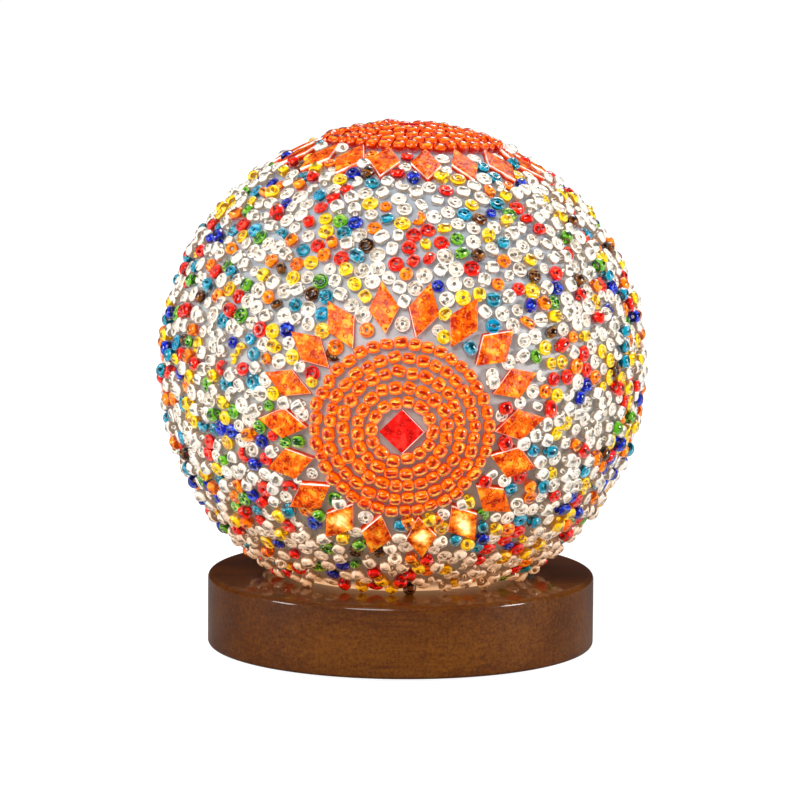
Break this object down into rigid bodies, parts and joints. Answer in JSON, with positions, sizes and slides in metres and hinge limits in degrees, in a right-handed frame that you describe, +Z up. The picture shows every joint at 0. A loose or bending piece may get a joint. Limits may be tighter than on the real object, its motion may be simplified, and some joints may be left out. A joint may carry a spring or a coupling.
{
  "type": "table lamp",
  "caption": "Small mosaic table lamp: a beaded glass globe with round medallions of orange beads and diamond tiles lifts off a low turned wooden base that holds the LEDs.",
  "frame": {"origin": "centre of the footprint, on the surface the lamp stands on", "axes": "+Z up along the axis of the base and globe; the front medallion faces -Y; the power inlet and switch are at the rear, towards +Y"},
  "size_m": [0.1266, 0.127, 0.1369],
  "materials": {
    "walnut": "satin, walnut stain",
    "black_plastic": "satin",
    "rubber": "matte",
    "silicone": "matte, translucent white",
    "aluminium": "brushed",
    "zinc_plated_steel": "zinc plated",
    "white_board": "white solder mask",
    "green_board": "green solder mask",
    "led_phosphor": "glowing warm white",
    "opal_diffuser": "opal, glowing warm white",
    "red_insulation": "gloss",
    "black_insulation": "gloss",
    "frosted_glass": "frosted, white",
    "mixed_beads": "gloss, clear and coloured glass beads",
    "red_glass": "gloss",
    "orange_beads": "gloss",
    "orange_glass": "gloss, hammered"
  },
  "bodies": {
    "base": {"wood_base": "walnut", "bottom_cover": "black_plastic", "base_pad": "rubber", "neck_gasket": "silicone", "heat_plate": "aluminium", "led_board": "white_board", "diffuser_dome": "opal_diffuser", "power_inlet": "black_plastic", "inlet_nut": "zinc_plated_steel", "switch_body": "black_plastic", "switch_nut": "zinc_plated_steel", "driver_board": "green_board", "driver_chip": "black_plastic", "supply_wire": "red_insulation", "switched_wire": "red_insulation", "ground_wire": "black_insulation", "led_wire_red": "red_insulation", "led_wire_black": "black_insulation", "cover_screw_1": "zinc_plated_steel", "cover_screw_2": "zinc_plated_steel", "cover_screw_3": "zinc_plated_steel", "cover_screw_4": "zinc_plated_steel", "board_screw_1": "zinc_plated_steel", "board_screw_2": "zinc_plated_steel", "board_screw_3": "zinc_plated_steel", "led_chip_1": "led_phosphor", "led_chip_2": "led_phosphor", "led_chip_3": "led_phosphor", "led_chip_4": "led_phosphor", "led_chip_5": "led_phosphor", "led_chip_6": "led_phosphor"},
    "globe": {"glass_globe": "frosted_glass", "bead_field": "mixed_beads", "front_centre_tile": "red_glass", "front_bead_rings": "orange_beads", "front_tile_ring": "orange_glass", "right_centre_tile": "red_glass", "right_bead_rings": "orange_beads", "right_tile_ring": "orange_glass", "left_centre_tile": "red_glass", "left_bead_rings": "orange_beads", "left_tile_ring": "orange_glass", "top_centre_tile": "red_glass", "top_bead_rings": "orange_beads", "top_tile_ring": "orange_glass"},
    "power_button": {"power_button": "black_plastic"}
  },
  "joints": [
    {"name": "globe_lift", "type": "slide", "parent": "base", "child": "globe", "axis": [0, 0, 1], "range_m": [0, 0.06]},
    {"name": "power_button_press", "type": "slide", "parent": "base", "child": "power_button", "axis": [-0.2756, -0.9613, 0], "range_m": [0, 0.0012], "stiffness_N_per_m": 300}
  ]
}
